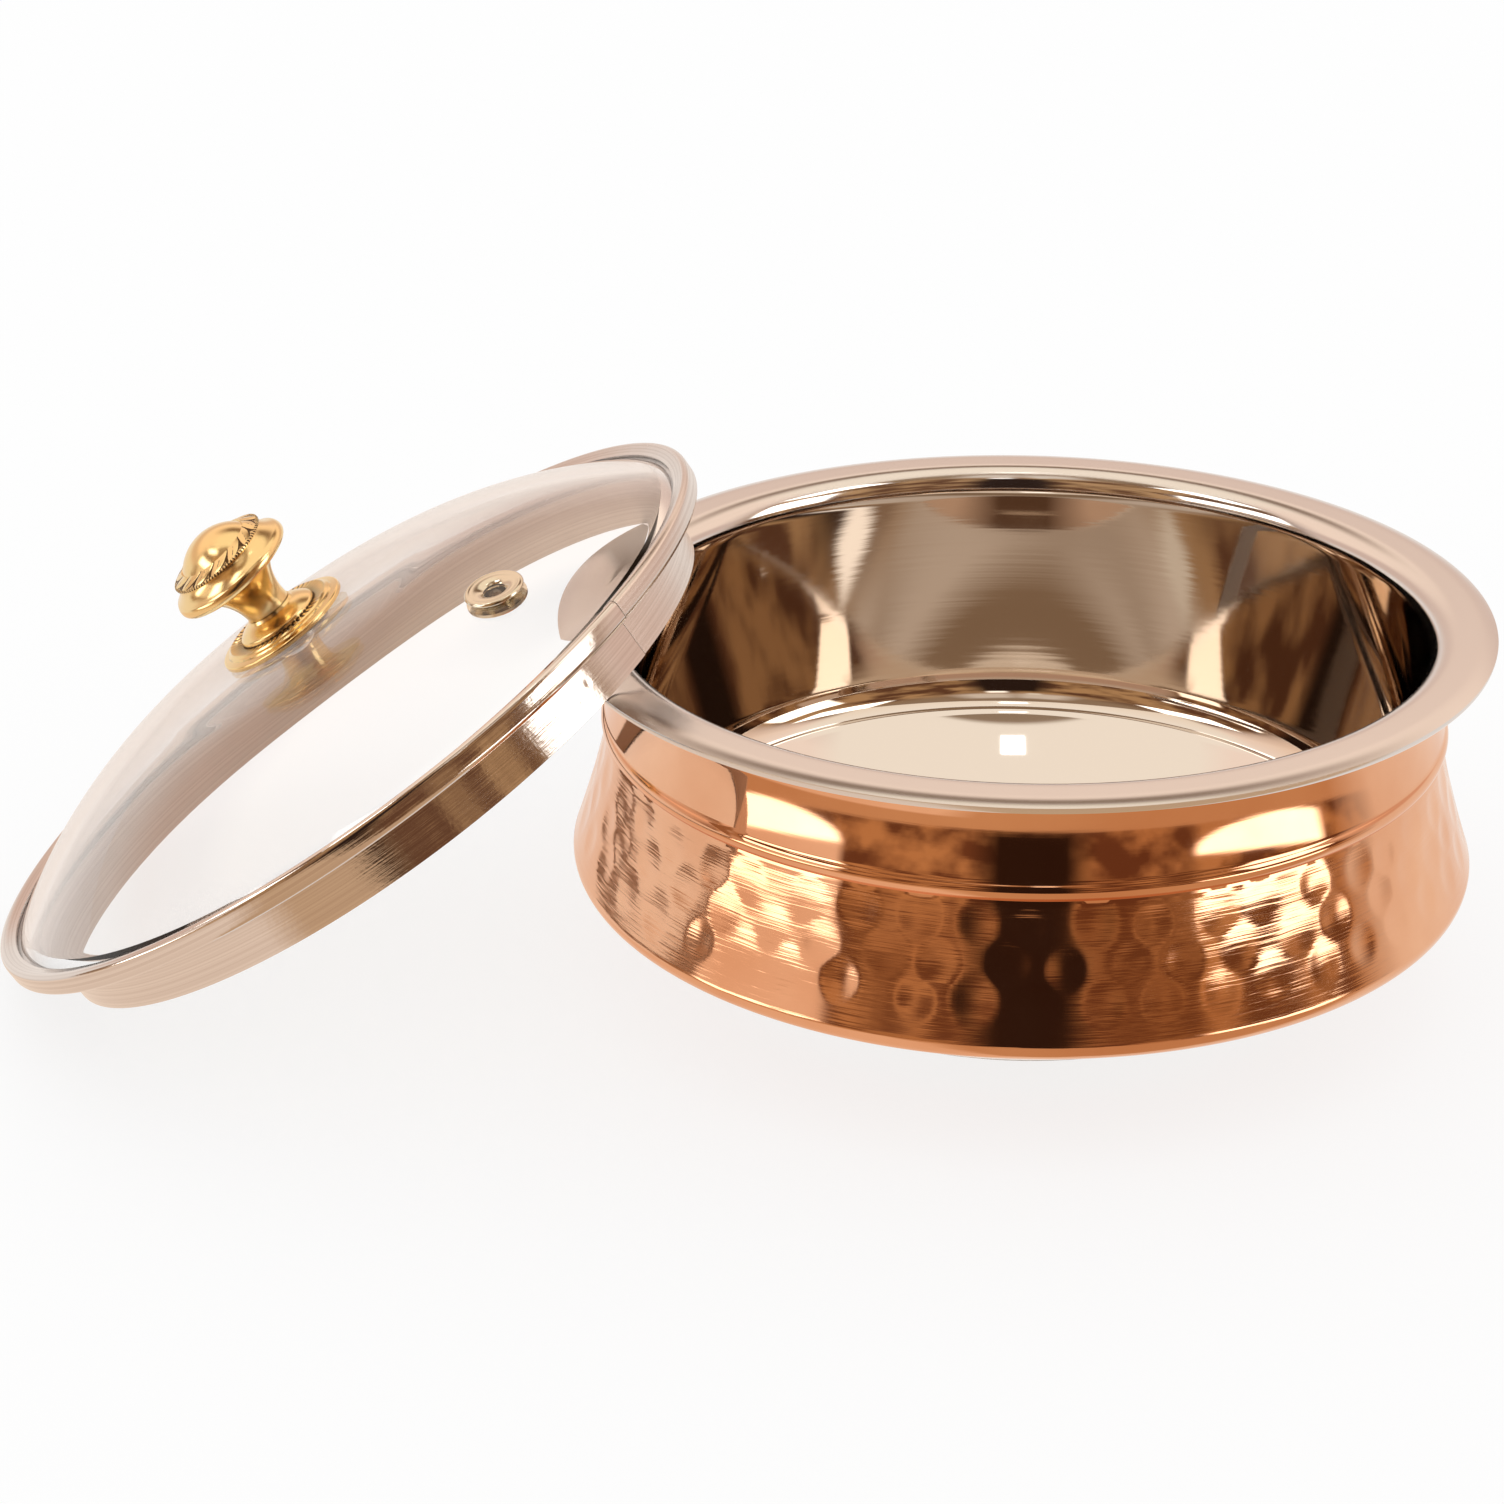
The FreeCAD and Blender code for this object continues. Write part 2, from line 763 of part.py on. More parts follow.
def disc(label, radius, thickness, height):
    """A flat ring round the screw, its lower face at that height on the lid."""
    hole = named("screw_radius") + named("fit_gap") * 2
    body = turned(label, [
        (hole, 0),
        (radius, 0),
        (radius, thickness),
        (hole, thickness),
    ])
    body.Placement = lid_place(z=height.value)
    return body


def fastening():
    """Gaskets, washer and the screw that holds the knob through the glass."""
    gap = named("fit_gap")
    gasket = named("gasket_thickness")
    washer = named("washer_thickness")
    wide = named("gasket_radius")
    crown = named("glass_crown_height")
    inside = named("glass_crown_round") - named("glass_thickness")
    under = crown - named("glass_thickness") - wide * wide / (inside * 2)
    above = disc("upper_gasket", wide, gasket, crown)
    lower = disc("lower_gasket", wide, gasket, under - gasket - gap)
    plate = disc("screw_washer", named("washer_radius"), washer,
                 under - gasket - washer - gap * 2)
    head_top = under - gasket - washer - gap * 3
    head = named("screw_head_height")
    head_radius = named("screw_head_radius")
    bulge = head * 0.6
    radius = named("screw_radius")
    top = crown + named("rosette_height") + named("screw_bite") - head_top
    screw = turned("knob_screw", [
        (0, 0),
        (head_radius, bulge, cap_radius(head_radius, bulge), "right"),
        (head_radius, head),
        (radius, head),
        (radius, head + top),
        (0, head + top),
    ])
    screw.Placement = lid_place(z=(head_top - head).value)
    return [above, lower, plate, screw]


def build():
    pieces = [inner_bowl(), copper_shell(), base_plate()]
    band = rim_band()
    band.Placement = lid_place()
    pieces.append(band)
    pieces.append(glass_dome())
    pieces.append(vent_eyelet())
    pieces.append(vent_ring())
    pieces.append(knob_rosette())
    pieces.append(knob())
    pieces.extend(fastening())
    doc.recompute()
    for item in doc.Objects:
        if "Invalid" in item.State or "Error" in item.State:
            owner = item.getParentGeoFeatureGroup() or item
            raise RuntimeError("failed: %s in %s %s" % (item.Label, owner.Label, item.State))
    for piece in pieces:
        shape = piece.Shape
        if shape.isNull() or not shape.isValid() or not shape.Solids:
            raise RuntimeError("bad shape: " + piece.Label)
    os.makedirs("parts", exist_ok=True)
    for piece in pieces:
        piece.Shape.exportStep("parts/%s.step" % piece.Label)
        print("%-14s %9.1f mm3" % (piece.Label, piece.Shape.Volume))
    return pieces


PIECES = build()
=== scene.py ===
import math
import random

import bmesh
import bpy
from mathutils import Matrix, Vector


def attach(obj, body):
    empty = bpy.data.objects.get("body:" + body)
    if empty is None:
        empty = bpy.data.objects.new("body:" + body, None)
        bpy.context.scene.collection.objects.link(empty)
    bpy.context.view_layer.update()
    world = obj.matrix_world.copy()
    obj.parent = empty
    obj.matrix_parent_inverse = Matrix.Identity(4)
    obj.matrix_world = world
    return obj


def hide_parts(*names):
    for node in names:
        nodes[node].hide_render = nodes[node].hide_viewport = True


# Low copper and steel serving pot with its glass lid leaning on the rim.
# The outlines repeat the CAD pieces in millimetres, finely divided, and carry
# the hammering, the carving and the turned steps.

MM = 0.001

# How the lid leans, in degrees, and where its own origin lies beside the pot.
LEAN = 33.263
LID_OFFSET = 133.542
LID_LIFT = 43.385

# Crown of the glass, foot of the rosette and the knob's tip, in the lid's frame.
CROWN = 33.9
CROWN_ROUND = 330.0
ROSETTE_LIFT = 34.6455
KNOB_TIP = math.radians(4.0)
KNOB_LEAN = math.radians(3.5)

# The pot's height and rim, and the thickness of its sheets and of the strip.
POT_HEIGHT = 78.0
RIM_RADIUS = 95.0
STEEL_SHEET = 0.8
COPPER_SHEET = 0.6
STRIP_SHEET = 0.5

# An edge between faces at more than this angle is drawn sharp.
SHARP_ANGLE = math.radians(32.0)

# Divisions round each axis, finest where a piece is lapped or carved.
BOWL_ROUND = 360
COPPER_ROUND = 640
BAND_ROUND = 1440
GLASS_ROUND = 288
EYELET_ROUND = 128
KNOB_ROUND = 864

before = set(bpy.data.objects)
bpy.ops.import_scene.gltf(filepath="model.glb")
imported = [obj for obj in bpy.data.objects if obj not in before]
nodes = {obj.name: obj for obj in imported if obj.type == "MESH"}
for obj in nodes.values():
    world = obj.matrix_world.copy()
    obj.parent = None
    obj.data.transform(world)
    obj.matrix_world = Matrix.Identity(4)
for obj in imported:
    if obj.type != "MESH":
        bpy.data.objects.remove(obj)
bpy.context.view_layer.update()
scene = bpy.context.scene
scene.view_settings.view_transform = "Standard"


# Outlines

def arc_points(start, end, radius, side, spacing):
    """Points after start up to end on the arc that bulges to that side."""
    a, b = Vector(start), Vector(end)
    chord = b - a
    half = chord.length / 2
    rise = math.sqrt(max(radius * radius - half * half, 0.0))
    away = Vector((-chord.y, chord.x)).normalized()
    if side == "left":
        away = -away
    centre = (a + b) / 2 + away * rise
    first = math.atan2(a.y - centre.y, a.x - centre.x)
    sweep = 2 * math.asin(min(half / radius, 1.0))
    if side == "left":
        sweep = -sweep
    count = max(3, math.ceil(abs(sweep) * radius / spacing))
    spots = []
    for index in range(1, count + 1):
        turn = first + sweep * index / count
        spots.append((centre.x + radius * math.cos(turn), centre.y + radius * math.sin(turn)))
    spots[-1] = (b.x, b.y)
    return spots


def straight_points(start, end, spacing):
    """Points after start up to end on the straight line between them."""
    length = math.hypot(end[0] - start[0], end[1] - start[1])
    count = max(1, math.ceil(length / spacing))
    spots = []
    for index in range(1, count + 1):
        share = index / count
        spots.append((start[0] + (end[0] - start[0]) * share,
                      start[1] + (end[1] - start[1]) * share))
    return spots


def trace(steps, spacing=0.8):
    """The closed outline as points (radius, height). A step is (radius, height)
    for a straight side to that point, or (radius, height, round, side) for an
    arc to it. A last value more is the step's own spacing of points."""
    points = []
    for index, step in enumerate(steps):
        start, end = steps[index - 1][:2], step[:2]
        if len(step) >= 4:
            own = step[4] if len(step) == 5 else spacing
            points.extend(arc_points(start, end, step[2], step[3], own))
        elif len(step) == 3:
            points.extend(straight_points(start, end, step[2]))
        else:
            points.append(end)
    return points


def lathe(name, points, count, place=None, shift=None, tone=None):
    """A closed outline turned about Z. shift(index, angle, radius, height) gives
    a moved radius and height. tone(index, angle, radius, height) gives a value
    that the material reads as the attribute 'tone', and the attribute 'across'
    is the way along the outline in millimetres."""
    mesh = bpy.data.meshes.new(name)
    made = bmesh.new()
    toned = made.verts.layers.float.new("tone")
    across = made.verts.layers.float.new("across")
    place = place or Matrix()
    rings = []
    run = 0.0
    for index, (radius, height) in enumerate(points):
        if index:
            run += math.hypot(radius - points[index - 1][0], height - points[index - 1][1])
        ring = []
        turns = 1 if radius < 1e-6 else count
        for step in range(turns):
            angle = 2 * math.pi * step / count
            r, z = radius, height
            if shift:
                r, z = shift(index, angle, radius, height)
            spot = place @ Vector((r * math.cos(angle) * MM, r * math.sin(angle) * MM, z * MM))
            vertex = made.verts.new(spot)
            vertex[across] = run
            if tone:
                vertex[toned] = tone(index, angle, radius, height)
            ring.append(vertex)
        rings.append(ring)
    for index, ring in enumerate(rings):
        join_rings(made, rings[index - 1], ring, count)
    bmesh.ops.recalc_face_normals(made, faces=made.faces)
    made.to_mesh(mesh)
    made.free()
    for face in mesh.polygons:
        face.use_smooth = True
    mesh.set_sharp_from_angle(angle=SHARP_ANGLE)
    thing = bpy.data.objects.new(name, mesh)
    scene.collection.objects.link(thing)
    return thing


def join_rings(made, first, second, count):
    """Faces between two rings; a ring of one vertex lies on the axis."""
    if len(first) == 1 and len(second) == 1:
        return
    for step in range(count):
        after = (step + 1) % count
        corners = []
        for vertex in (first[step % len(first)], first[after % len(first)],
                       second[after % len(second)], second[step % len(second)]):
            if vertex not in corners:
                corners.append(vertex)
        made.faces.new(corners)


def past_angle(angle, start):
    """Degrees from start round to the angle, from -180 to 180."""
    return (math.degrees(angle) - start + 180) % 360 - 180


def lid_matrix():
    place = Matrix.Translation((-LID_OFFSET * MM, 0, LID_LIFT * MM))
    return place @ Matrix.Rotation(math.radians(-LEAN), 4, "Y")


LID = lid_matrix()


def on_rosette(along):
    """A place on the rosette's axis, which is tipped towards the viewer."""
    foot = LID @ Matrix.Translation((0, 0, ROSETTE_LIFT * MM))
    return foot @ Matrix.Rotation(KNOB_TIP, 4, "X") @ Matrix.Translation((0, 0, along * MM))


# Materials

def material(name, colour, metallic, roughness):
    made = bpy.data.materials.new(name)
    made.use_nodes = True
    tree = made.node_tree
    shader = tree.nodes["Principled BSDF"]
    shader.inputs["Base Color"].default_value = (*colour, 1)
    shader.inputs["Metallic"].default_value = metallic
    shader.inputs["Roughness"].default_value = roughness
    return made, tree, shader


def node(tree, kind, **values):
    made = tree.nodes.new(kind)
    for key, value in values.items():
        setattr(made, key, value)
    return made


def noise(tree, scale, detail=4.0, stretch=(1, 1, 1)):
    """Noise in object space, in cycles per metre."""
    place = node(tree, "ShaderNodeTexCoord")
    shape = node(tree, "ShaderNodeMapping")
    shape.inputs["Scale"].default_value = stretch
    pattern = node(tree, "ShaderNodeTexNoise")
    pattern.inputs["Scale"].default_value = scale
    pattern.inputs["Detail"].default_value = detail
    tree.links.new(place.outputs["Object"], shape.inputs["Vector"])
    tree.links.new(shape.outputs["Vector"], pattern.inputs["Vector"])
    return pattern.outputs["Fac"]


def attribute(tree, name):
    return node(tree, "ShaderNodeAttribute", attribute_name=name).outputs["Fac"]


def turned_lines(tree, per_mm, detail=3.0):
    """Noise that varies only across the outline: lines left by turning."""
    pattern = node(tree, "ShaderNodeTexNoise", noise_dimensions="1D")
    pattern.inputs["Scale"].default_value = per_mm
    pattern.inputs["Detail"].default_value = detail
    tree.links.new(attribute(tree, "across"), pattern.inputs["W"])
    return pattern.outputs["Fac"]


def spread(tree, value, low, high, to_low, to_high):
    """The value's range from low to high moved to another one and held there."""
    made = node(tree, "ShaderNodeMapRange", clamp=True)
    limits = {"From Min": low, "From Max": high, "To Min": to_low, "To Max": to_high}
    for name, number in limits.items():
        made.inputs[name].default_value = number
    tree.links.new(value, made.inputs["Value"])
    return made.outputs["Result"]


def layer(tree, share, under, colour):
    """The colour laid over what is under it, by share."""
    made = node(tree, "ShaderNodeMix", data_type="RGBA")
    tree.links.new(share, made.inputs["Factor"])
    if isinstance(under, tuple):
        made.inputs["A"].default_value = (*under, 1)
    else:
        tree.links.new(under, made.inputs["A"])
    made.inputs["B"].default_value = (*colour, 1)
    return made.outputs["Result"]


def maths(tree, operation, first, second=None):
    made = node(tree, "ShaderNodeMath", operation=operation)
    for index, value in enumerate((first, second)):
        if value is None:
            continue
        if isinstance(value, (int, float)):
            made.inputs[index].default_value = value
        else:
            tree.links.new(value, made.inputs[index])
    return made.outputs[0]


def bump(tree, shader, height, strength, distance, under=None):
    made = node(tree, "ShaderNodeBump")
    made.inputs["Strength"].default_value = strength
    made.inputs["Distance"].default_value = distance
    tree.links.new(height, made.inputs["Height"])
    if under:
        tree.links.new(under, made.inputs["Normal"])
    tree.links.new(made.outputs["Normal"], shader.inputs["Normal"])
    return made.outputs["Normal"]


def object_axes(tree):
    place = node(tree, "ShaderNodeTexCoord")
    axes = node(tree, "ShaderNodeSeparateXYZ")
    tree.links.new(place.outputs["Object"], axes.inputs["Vector"])
    return axes.outputs


def copper():
    """Polished neck, brushed skirt below the bead, and a slow change of tint."""
    light, deep = (0.86, 0.49, 0.30), (0.76, 0.38, 0.21)
    skirt_low, skirt_high = 0.0525, 0.0535
    made, tree, shader = material("copper", light, 1.0, 0.12)
    height = object_axes(tree)[2]
    stain = spread(tree, noise(tree, 28, 5), 0.35, 0.7, 0, 1)
    tree.links.new(layer(tree, stain, light, deep), shader.inputs["Base Color"])
    fine = noise(tree, 1, 2, (60, 60, 2400))
    coarse = noise(tree, 1, 2, (25, 25, 800))
    on_skirt = spread(tree, height, skirt_high, skirt_low, 0.05, 1)
    brushing = maths(tree, "MULTIPLY", maths(tree, "ADD", fine, coarse), on_skirt)
    bump(tree, shader, brushing, 0.13, 0.00028)
    rough = spread(tree, noise(tree, 60, 3), 0.3, 0.7, 0.03, 0.07)
    brushed = spread(tree, height, skirt_high, skirt_low, 0, 0.05)
    tree.links.new(maths(tree, "ADD", rough, brushed), shader.inputs["Roughness"])
    return made


def bowl_steel():
    """Bright steel, satin on the flange, warmer and spun on the inner wall."""
    bright, warm = (0.74, 0.71, 0.69), (0.68, 0.58, 0.49)
    made, tree, shader = material("bowl_steel", bright, 1.0, 0.1)
    x, y, z = object_axes(tree)
    squares = maths(tree, "ADD", maths(tree, "MULTIPLY", x, x), maths(tree, "MULTIPLY", y, y))
    outer = spread(tree, maths(tree, "SQRT", squares), 0.076, 0.079, 0, 1)
    wall = maths(tree, "MULTIPLY", outer, spread(tree, z, 0.075, 0.071, 0, 1))
    tree.links.new(layer(tree, wall, bright, warm), shader.inputs["Base Color"])
    spun = noise(tree, 1, 2, (4, 4, 900))
    bump(tree, shader, maths(tree, "MULTIPLY", spun, wall), 0.03, 0.00012)
    satin = spread(tree, attribute(tree, "tone"), 0, 1, 0.04, 0.2)
    smear = spread(tree, noise(tree, 45, 4), 0.3, 0.7, -0.01, 0.015)
    tree.links.new(maths(tree, "ADD", satin, smear), shader.inputs["Roughness"])
    return made


def band_steel():
    """Rolled strip with lines along it. A tone of 0 is bright, 1 is satin, and 2
    is painted shade: a dark line under the lapped end."""
    dull, light, painted_lap_shade = (0.68, 0.61, 0.57), (0.77, 0.71, 0.67), (0.10, 0.08, 0.07)
    made, tree, shader = material("band_steel", light, 1.0, 0.1)
    tone = attribute(tree, "tone")
    smear = spread(tree, noise(tree, 90, 4), 0.3, 0.7, 0.05, 0.12)
    satin = spread(tree, tone, 0, 1, 0, 0.58)
    tree.links.new(maths(tree, "ADD", smear, satin), shader.inputs["Roughness"])
    streaks = layer(tree, spread(tree, turned_lines(tree, 1.6), 0.38, 0.62, 0, 1), dull, light)
    # Painted shade: a dark line under the strip's lapped end, where the tone nears 2.
    shaded = layer(tree, spread(tree, tone, 1.1, 1.9, 0, 1), streaks, painted_lap_shade)
    tree.links.new(shaded, shader.inputs["Base Color"])
    grain = bump(tree, shader, noise(tree, 900, 2), 0.12, 0.00012)
    bump(tree, shader, turned_lines(tree, 3.0), 0.07, 0.0002, grain)
    return made


def brass():
    """Polished brass, dark in the carving, where the tone nears 1."""
    bright, dirt = (0.90, 0.67, 0.33), (0.10, 0.055, 0.022)
    made, tree, shader = material("brass", bright, 1.0, 0.1)
    patchy = spread(tree, noise(tree, 1500, 3), 0.3, 0.7, -0.25, 0.25)
    share = spread(tree, maths(tree, "ADD", attribute(tree, "tone"), patchy), 0.35, 0.65, 0, 1)
    tree.links.new(layer(tree, share, bright, dirt), shader.inputs["Base Color"])
    tree.links.new(spread(tree, share, 0, 1, 0.19, 0.5), shader.inputs["Roughness"])
    return made


def clear_glass():
    """Clear glass that turns warm and hazy where it is seen at a slant."""
    clear, warm = (0.995, 0.99, 0.985), (0.93, 0.74, 0.63)
    made, tree, shader = material("clear_glass", clear, 0.0, 0.0)
    shader.inputs["IOR"].default_value = 1.5
    shader.inputs["Transmission Weight"].default_value = 1.0
    edge = node(tree, "ShaderNodeLayerWeight")
    edge.inputs["Blend"].default_value = 0.5
    slant = spread(tree, edge.outputs["Facing"], 0.66, 0.84, 0, 1)
    tree.links.new(layer(tree, slant, clear, warm), shader.inputs["Base Color"])
    tree.links.new(spread(tree, slant, 0, 1, 1, 0.5), shader.inputs["Transmission Weight"])
    return made


def eyelet_steel():
    """Steel with a yellow cast, with painted shade in the bore, where the tone is 1."""
    # The second colour, bore, is painted shade for the inside of the hole.
    pale, bore = (0.74, 0.67, 0.54), (0.16, 0.11, 0.07)
    made, tree, shader = material("eyelet_steel", pale, 1.0, 0.12)
    tree.links.new(layer(tree, attribute(tree, "tone"), pale, bore), shader.inputs["Base Color"])
    tree.links.new(spread(tree, noise(tree, 400, 3), 0.3, 0.7, 0.1, 0.2), shader.inputs["Roughness"])
    return made


def fixing_steel():
    made, tree, shader = material("fixing_steel", (0.62, 0.61, 0.6), 1.0, 0.2)
    tree.links.new(spread(tree, noise(tree, 400, 3), 0.3, 0.7, 0.14, 0.28), shader.inputs["Roughness"])
    return made


def silicone():
    made, tree, shader = material("silicone", (0.8, 0.79, 0.77), 0.0, 0.45)
    bump(tree, shader, noise(tree, 700, 3), 0.2, 0.0001)
    return made


COPPER = copper()
BOWL_STEEL = bowl_steel()
BAND_STEEL = band_steel()
BRASS = brass()
GLASS = clear_glass()
EYELET = eyelet_steel()
FIXING = fixing_steel()
SEAL = silicone()


def dress(thing, look, slot, *replaced):
    thing.data.materials.append(look)
    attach(thing, "root")
    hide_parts(*replaced)


# Bowl

def bowl_piece():
    """From the middle of the floor up the inside, over the rim and back below."""
    sheet = STEEL_SHEET
    floor_radius, floor_top = 40, 1.85
    dish_radius, dish_height, dish_round = 75, 22, 115
    foot_radius, foot_height, corner_round = 80.6, 29, 9.5
    mouth_radius, mouth_height, mouth_round = 82, 73, 5
    wall_round = 150
    flange_radius, turn_radius = mouth_radius + mouth_round, RIM_RADIUS - 3.8
    rim_droop, rim_round = 0.7, 10.664
    hem_radius, hem_height, hem_round = RIM_RADIUS - 0.3, POT_HEIGHT - 1.9, 1.9
    steps = [
        (0, floor_top),
        (floor_radius, floor_top, 6),
        (dish_radius, dish_height, dish_round, "right", 1.2),
        (foot_radius, foot_height, corner_round, "right", 0.5),
        (mouth_radius, mouth_height, wall_round, "right", 1.5),
        (flange_radius, POT_HEIGHT, mouth_round, "left", 0.35),
        (turn_radius, POT_HEIGHT, 1),
        (RIM_RADIUS, POT_HEIGHT - rim_droop, rim_round, "left", 0.4),
        (hem_radius, hem_height, hem_round, "left", 0.2),
        (hem_radius - sheet, hem_height),
        (RIM_RADIUS - 1.02, POT_HEIGHT - 1.02),
        (RIM_RADIUS - 2.6, POT_HEIGHT - sheet),
        (flange_radius, POT_HEIGHT - sheet),
        (mouth_radius + sheet, mouth_height, mouth_round - sheet, "right"),
        (foot_radius + sheet, foot_height, wall_round + sheet, "left", 4),
        (dish_radius + 0.4, dish_height - sheet, corner_round + sheet, "left"),
        (floor_radius + 0.16, floor_top - sheet, dish_round + sheet, "left", 4),
        (0, floor_top - sheet),
    ]

    def satin(index, angle, radius, height):
        if height > POT_HEIGHT - 1.5 and radius > mouth_radius + 1.5:
            return 1.0
        if height > mouth_height and radius > mouth_radius - 0.1:
            return 0.35
        return 0.0

    return lathe("bowl", trace(steps), BOWL_ROUND, tone=satin)


# Copper shell

SKIRT_TOP, SKIRT_FOOT = 53.8, 24.6
DENT_ROWS = (49.4, 42.2, 35.2)
DENTS_ROUND = 48
DENT_WIDE = 4.5
DENT_TALL = 4.8
DENT_DEPTH = 0.24
# A dent goes square to the skirt: this much inwards and this much down.
DENT_IN, DENT_DOWN = 0.96, 0.28
SECTORS = 96


def hammer_marks():
    """Each mark: angle, height, half width, half height, depth, row by row."""
    draw = random.Random(7)
    marks = []
    for row, height in enumerate(DENT_ROWS):
        for step in range(DENTS_ROUND):
            share = step + 0.5 * (row % 2)
            angle = 2 * math.pi * (share + draw.uniform(-0.13, 0.13)) / DENTS_ROUND
            size = draw.uniform(0.88, 1.1)
            marks.append((angle % (2 * math.pi), height + draw.uniform(-0.8, 0.8),
                          DENT_WIDE * size, DENT_TALL * size * draw.uniform(0.95, 1.08),
                          DENT_DEPTH * draw.uniform(0.8, 1.15)))
    return marks


def sector(angle):
    return int(angle / (2 * math.pi) * SECTORS)


def copper_piece():
    """From the lip below the rim down the outside to the base plate, and back."""
    sheet = COPPER_SHEET
    lip_radius, lip_flat, lip_top = RIM_RADIUS - 3.6, 90.05, POT_HEIGHT - 0.85
    neck_radius, neck_height, neck_round = 84, 69.5, 60
    lip_round = lip_top - sheet - neck_height
    bead_radius, bead_top, bead_round = 86.1, 57.6, 2.2
    skirt_radius, skirt_height, skirt_round = 85.7, 54, 220
    knuckle_radius, knuckle_height, knuckle_round = 93.3, 27.6, 3.4
    turn_radius, turn_height = 91.7, 24.2
    foot_radius, foot_height = 63, 7.6
    steps = [
        (lip_radius, lip_top - sheet),
        (lip_flat, lip_top - sheet, 1),
        (neck_radius, neck_height, lip_round, "right", 0.5),
        (bead_radius, bead_top, neck_round, "right", 0.8),
        (skirt_radius, skirt_height, bead_round, "left", 0.28),
        (knuckle_radius, knuckle_height, skirt_round, "right", 0.62),
        (turn_radius, turn_height, knuckle_round, "left", 0.4),
        (foot_radius, foot_height, 5),
        (foot_radius - 0.18, foot_height + sheet),
        (turn_radius - 0.36, turn_height + 0.48),
        (knuckle_radius - sheet, knuckle_height, knuckle_round - sheet, "right"),
        (skirt_radius - sheet, skirt_height, skirt_round + sheet, "left", 6),
        (bead_radius - sheet, bead_top, bead_round, "right"),
        (neck_radius - sheet, neck_height, neck_round + sheet, "left", 3),
        (lip_flat, lip_top, lip_round + sheet, "left", 2),
        (lip_radius, lip_top),
    ]
    points = trace(steps, 1.0)
    marks_near = {}
    for mark in hammer_marks():
        for beside in (-1, 0, 1):
            marks_near.setdefault((sector(mark[0]) + beside) % SECTORS, []).append(mark)

    def hammered(index, angle, radius, height):
        outside = points[index - 1][1] > height
        if not outside or not SKIRT_FOOT < height < SKIRT_TOP:
            return radius, height
        depth = 0.0
        for turn, level, wide, tall, bite in marks_near.get(sector(angle), ()):
            gap = (angle - turn + math.pi) % (2 * math.pi) - math.pi
            inside = 1 - (gap * radius / wide) ** 2 - ((height - level) / tall) ** 2
            if inside > 0:
                depth = max(depth, bite * inside ** 1.5)
        return radius - depth * DENT_IN, height - depth * DENT_DOWN

    return lathe("copper_skin", points, COPPER_ROUND, shift=hammered)


# Lid

# Where the strip's end lies on the outer wall and on the skirt, in degrees.
LAP_WALL, LAP_SKIRT = -32.0, -27.4
LAP_RUN = 35.0
LAP_STEP = 0.35
# Width in degrees of the painted shade line under the strip's lapped end.
LAP_SHADE_WIDTH = 0.3
DIMPLES = ((-39.0, 5.2), (-42.0, 3.1))
DIMPLE_RADIUS = 1.1
DIMPLE_DEPTH = 0.05


def past_lap(angle, radius):
    return past_angle(angle, LAP_WALL if radius > 80 else LAP_SKIRT)


def band_piece():
    """From the skirt's foot up the outside, round the lip and back inside it."""
    sheet = STRIP_SHEET
    outer_skirt, wall, lip_edge = 79.1, 87.6, 83.7
    wall_foot, wall_top, lip_height, wall_round = 10.7, 15.5, 14.6, 1.2
    ledge, inner_round = wall_foot + sheet, wall_round - sheet
    turn = wall - wall_round
    round_low, round_high = wall_foot + wall_round, wall_top - wall_round
    steps = [
        (outer_skirt, 0),
        (outer_skirt, wall_foot, 0.5),
        (turn, wall_foot, 2),
        (wall, round_low, wall_round, "right", 0.25),
        (wall, round_high, 1),
        (turn, wall_top, wall_round, "right", 0.25),
        (lip_edge, lip_height, 1),
        (lip_edge, lip_height - sheet),
        (turn, wall_top - sheet),
        (wall - sheet, round_high, inner_round, "left", 0.25),
        (wall - sheet, round_low),
        (turn, ledge, inner_round, "left", 0.25),
        (outer_skirt - sheet, ledge),
        (outer_skirt - sheet, 0),
    ]

    def lapped(index, angle, radius, height):
        """The strip's end lies on the strip; two small dimples beside it."""
        on_ledge = height < ledge + 0.05 and outer_skirt + 0.1 < radius < 86.3
        if radius < outer_skirt - 0.2 or on_ledge:
            return radius, height
        past = past_lap(angle, radius)
        if 0 < past < LAP_RUN:
            radius -= LAP_STEP * (1 - past / LAP_RUN)
        for turn, level in DIMPLES:
            gap = math.radians(past_angle(angle, turn)) * radius
            inside = 1 - (gap ** 2 + (height - level) ** 2) / DIMPLE_RADIUS ** 2
            if inside > 0 and radius < 80:
                radius -= DIMPLE_DEPTH * inside * inside
        return radius, height

    def satin(index, angle, radius, height):
        under_glass = abs(height - ledge) < 0.05 and radius < 86
        if radius < outer_skirt - 0.2 or under_glass:
            return 1.0
        past = past_lap(angle, radius)
        # Tone 2 is painted shade: a dark line just past the strip's end.
        if 0 < past < LAP_SHADE_WIDTH:
            return 2.0
        return 0.28 * min(1.0, (180 - past) / 60) if past > 0 else 0.0

    return lathe("band", trace(steps), BAND_ROUND, place=LID, shift=lapped, tone=satin)


